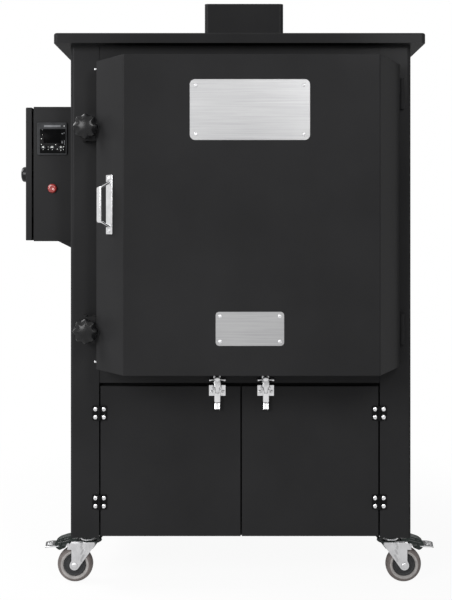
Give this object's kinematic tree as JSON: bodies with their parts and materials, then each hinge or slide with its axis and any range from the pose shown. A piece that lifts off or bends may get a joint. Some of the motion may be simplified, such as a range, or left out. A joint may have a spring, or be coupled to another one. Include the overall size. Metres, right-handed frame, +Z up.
{
  "type": "ceramic kiln",
  "caption": "Front-loading electric ceramic kiln on casters: deep bevelled door with clamps, storage cabinet below, control box at the side.",
  "frame": {"origin": "on the floor, at the middle of the outline seen from above", "axes": "+Z up, -Y towards the front with the kiln door, +X to the right seen from the front"},
  "size_m": [0.9928, 0.928, 1.408],
  "materials": {
    "black_paint": "satin",
    "steel_bright": "gloss",
    "dark_zinc": "satin",
    "zinc": "satin",
    "black_plastic": "satin",
    "controller_plastic": "gloss",
    "red_lens": "gloss",
    "plate_aluminium": "satin",
    "brick": "matte",
    "fibre": "matte",
    "element": "matte",
    "flue_ceramic": "matte",
    "tyre": "matte"
  },
  "bodies": {
    "kiln_body": {"base_frame": "black_paint", "cabinet_hinge_fixed_leaves": "black_plastic", "cable_gland": "black_plastic", "casing_screws": "zinc", "caster_plates": "zinc", "chamber_floor": "brick", "chamber_roof": "brick", "chamber_walls": "brick", "chimney_box": "black_paint", "clamp_brackets": "black_paint", "control_enclosure": "black_paint", "deck_plates": "black_paint", "door_hinge_pins": "black_paint", "flue_tube": "flue_ceramic", "front_panel": "black_paint", "heating_elements": "element", "latch_keepers": "zinc", "pilot_lamp": "red_lens", "power_contactor": "black_plastic", "rear_panel": "black_paint", "roof_tray": "black_paint", "side_casing_left": "black_paint", "side_casing_right": "black_paint", "temperature_controller": "controller_plastic", "terminal_cover": "black_paint", "thermocouple": "flue_ceramic"},
    "kiln_door": {"door_shell": "black_paint", "door_insulation": "fibre", "door_seal": "fibre", "door_hinge_barrels": "black_paint", "door_handle": "steel_bright", "nameplates": "plate_aluminium", "door_screws": "zinc"},
    "clamp_washer_lower": {"clamp_washer_lower": "zinc"},
    "clamp_knob_lower": {"clamp_knob_lower": "black_plastic"},
    "clamp_washer_upper": {"clamp_washer_upper": "zinc"},
    "clamp_knob_upper": {"clamp_knob_upper": "black_plastic"},
    "cabinet_door_left": {"cabinet_door_left": "black_paint", "cabinet_hinge_leaves_left": "black_plastic", "latch_base_left": "zinc"},
    "latch_lever_left": {"latch_lever_left": "zinc"},
    "latch_hook_left": {"latch_hook_left": "zinc"},
    "caster_fork_left": {"caster_fork_left": "zinc"},
    "brake_pedal_left": {"brake_pedal_left": "dark_zinc"},
    "caster_wheel_front_left": {"caster_wheel_front_left": "tyre"},
    "caster_wheel_rear_left": {"caster_wheel_rear_left": "tyre"},
    "cabinet_door_right": {"cabinet_door_right": "black_paint", "cabinet_hinge_leaves_right": "black_plastic", "latch_base_right": "zinc"},
    "latch_lever_right": {"latch_lever_right": "zinc"},
    "latch_hook_right": {"latch_hook_right": "zinc"},
    "caster_fork_right": {"caster_fork_right": "zinc"},
    "brake_pedal_right": {"brake_pedal_right": "dark_zinc"},
    "caster_wheel_front_right": {"caster_wheel_front_right": "tyre"},
    "caster_wheel_rear_right": {"caster_wheel_rear_right": "tyre"},
    "enclosure_lid": {"enclosure_lid": "black_paint"},
    "enclosure_lock": {"enclosure_lock": "black_plastic"},
    "controller_key_left": {"controller_key_left": "controller_plastic"},
    "controller_key_middle": {"controller_key_middle": "controller_plastic"},
    "controller_key_right": {"controller_key_right": "controller_plastic"}
  },
  "joints": [
    {"name": "kiln_door_hinge", "type": "hinge", "parent": "kiln_body", "child": "kiln_door", "pos_m": [0.4089, -0.299, 0.87675], "axis": [0, 0, 1], "range_deg": [0, 120]},
    {"name": "clamp_slide_lower", "type": "slide", "parent": "kiln_door", "child": "clamp_washer_lower", "axis": [0, -1, 0], "range_m": [0, 0.006]},
    {"name": "clamp_turn_lower", "type": "hinge", "parent": "clamp_washer_lower", "child": "clamp_knob_lower", "pos_m": [-0.3106, -0.368, 0.6069], "axis": [0, -1, 0], "range_deg": [0, 1440]},
    {"name": "clamp_slide_upper", "type": "slide", "parent": "kiln_door", "child": "clamp_washer_upper", "axis": [0, -1, 0], "range_m": [0, 0.006]},
    {"name": "clamp_turn_upper", "type": "hinge", "parent": "clamp_washer_upper", "child": "clamp_knob_upper", "pos_m": [-0.3106, -0.368, 1.0661], "axis": [0, -1, 0], "range_deg": [0, 1440]},
    {"name": "cabinet_hinge_left", "type": "hinge", "parent": "kiln_body", "child": "cabinet_door_left", "pos_m": [-0.2891, -0.297, 0.3071], "axis": [0, 0, -1], "range_deg": [0, 110]},
    {"name": "latch_lever_turn_left", "type": "hinge", "parent": "cabinet_door_left", "child": "latch_lever_left", "pos_m": [-0.0176, -0.3, 0.469], "axis": [-1, 0, 0], "range_deg": [0, 105]},
    {"name": "latch_hook_turn_left", "type": "hinge", "parent": "latch_lever_left", "child": "latch_hook_left", "pos_m": [-0.0176, -0.3005, 0.461], "axis": [-1, 0, 0], "range_deg": [-105, 0]},
    {"name": "caster_swivel_left", "type": "hinge", "parent": "kiln_body", "child": "caster_fork_left", "pos_m": [-0.3246, -0.227, 0.099], "axis": [0, 0, 1], "continuous": true},
    {"name": "wheel_spin_front_left", "type": "hinge", "parent": "caster_fork_left", "child": "caster_wheel_front_left", "pos_m": [-0.3546, -0.227, 0.042], "axis": [0, 1, 0], "continuous": true},
    {"name": "brake_press_left", "type": "hinge", "parent": "caster_fork_left", "child": "brake_pedal_left", "pos_m": [-0.3686, -0.227, 0.092], "axis": [0, -1, 0], "range_deg": [0, 12], "stiffness_Nm_per_rad": 2},
    {"name": "wheel_spin_rear_left", "type": "hinge", "parent": "kiln_body", "child": "caster_wheel_rear_left", "pos_m": [-0.3246, 0.343, 0.042], "axis": [1, 0, 0], "continuous": true},
    {"name": "cabinet_hinge_right", "type": "hinge", "parent": "kiln_body", "child": "cabinet_door_right", "pos_m": [0.3579, -0.297, 0.3071], "axis": [0, 0, 1], "range_deg": [0, 110]},
    {"name": "latch_lever_turn_right", "type": "hinge", "parent": "cabinet_door_right", "child": "latch_lever_right", "pos_m": [0.0944, -0.3, 0.469], "axis": [-1, 0, 0], "range_deg": [0, 105]},
    {"name": "latch_hook_turn_right", "type": "hinge", "parent": "latch_lever_right", "child": "latch_hook_right", "pos_m": [0.0944, -0.3005, 0.461], "axis": [-1, 0, 0], "range_deg": [-105, 0]},
    {"name": "caster_swivel_right", "type": "hinge", "parent": "kiln_body", "child": "caster_fork_right", "pos_m": [0.3934, -0.227, 0.099], "axis": [0, 0, 1], "continuous": true},
    {"name": "wheel_spin_front_right", "type": "hinge", "parent": "caster_fork_right", "child": "caster_wheel_front_right", "pos_m": [0.4234, -0.227, 0.042], "axis": [0, 1, 0], "continuous": true},
    {"name": "brake_press_right", "type": "hinge", "parent": "caster_fork_right", "child": "brake_pedal_right", "pos_m": [0.4374, -0.227, 0.092], "axis": [0, 1, 0], "range_deg": [0, 12], "stiffness_Nm_per_rad": 2},
    {"name": "wheel_spin_rear_right", "type": "hinge", "parent": "kiln_body", "child": "caster_wheel_rear_right", "pos_m": [0.3934, 0.343, 0.042], "axis": [1, 0, 0], "continuous": true},
    {"name": "lid_hinge", "type": "hinge", "parent": "kiln_body", "child": "enclosure_lid", "pos_m": [-0.4684, 0.064, 0.96785], "axis": [0, 0, -1], "range_deg": [0, 110]},
    {"name": "lock_turn", "type": "hinge", "parent": "enclosure_lid", "child": "enclosure_lock", "pos_m": [-0.4798, -0.156, 0.96824], "axis": [-1, 0, 0], "range_deg": [0, 90]},
    {"name": "key_press_left", "type": "slide", "parent": "kiln_body", "child": "controller_key_left", "axis": [0, 1, 0], "range_m": [0, 0.0008], "stiffness_N_per_m": 300},
    {"name": "key_press_middle", "type": "slide", "parent": "kiln_body", "child": "controller_key_middle", "axis": [0, 1, 0], "range_m": [0, 0.0008], "stiffness_N_per_m": 300},
    {"name": "key_press_right", "type": "slide", "parent": "kiln_body", "child": "controller_key_right", "axis": [0, 1, 0], "range_m": [0, 0.0008], "stiffness_N_per_m": 300}
  ],
  "couplings": [
    {"joint": "clamp_slide_lower", "follows": "clamp_turn_lower", "m_per_rad": 0.00023873},
    {"joint": "clamp_slide_upper", "follows": "clamp_turn_upper", "m_per_rad": 0.00023873},
    {"joint": "latch_hook_turn_left", "follows": "latch_lever_turn_left", "ratio": -1},
    {"joint": "latch_hook_turn_right", "follows": "latch_lever_turn_right", "ratio": -1}
  ]
}
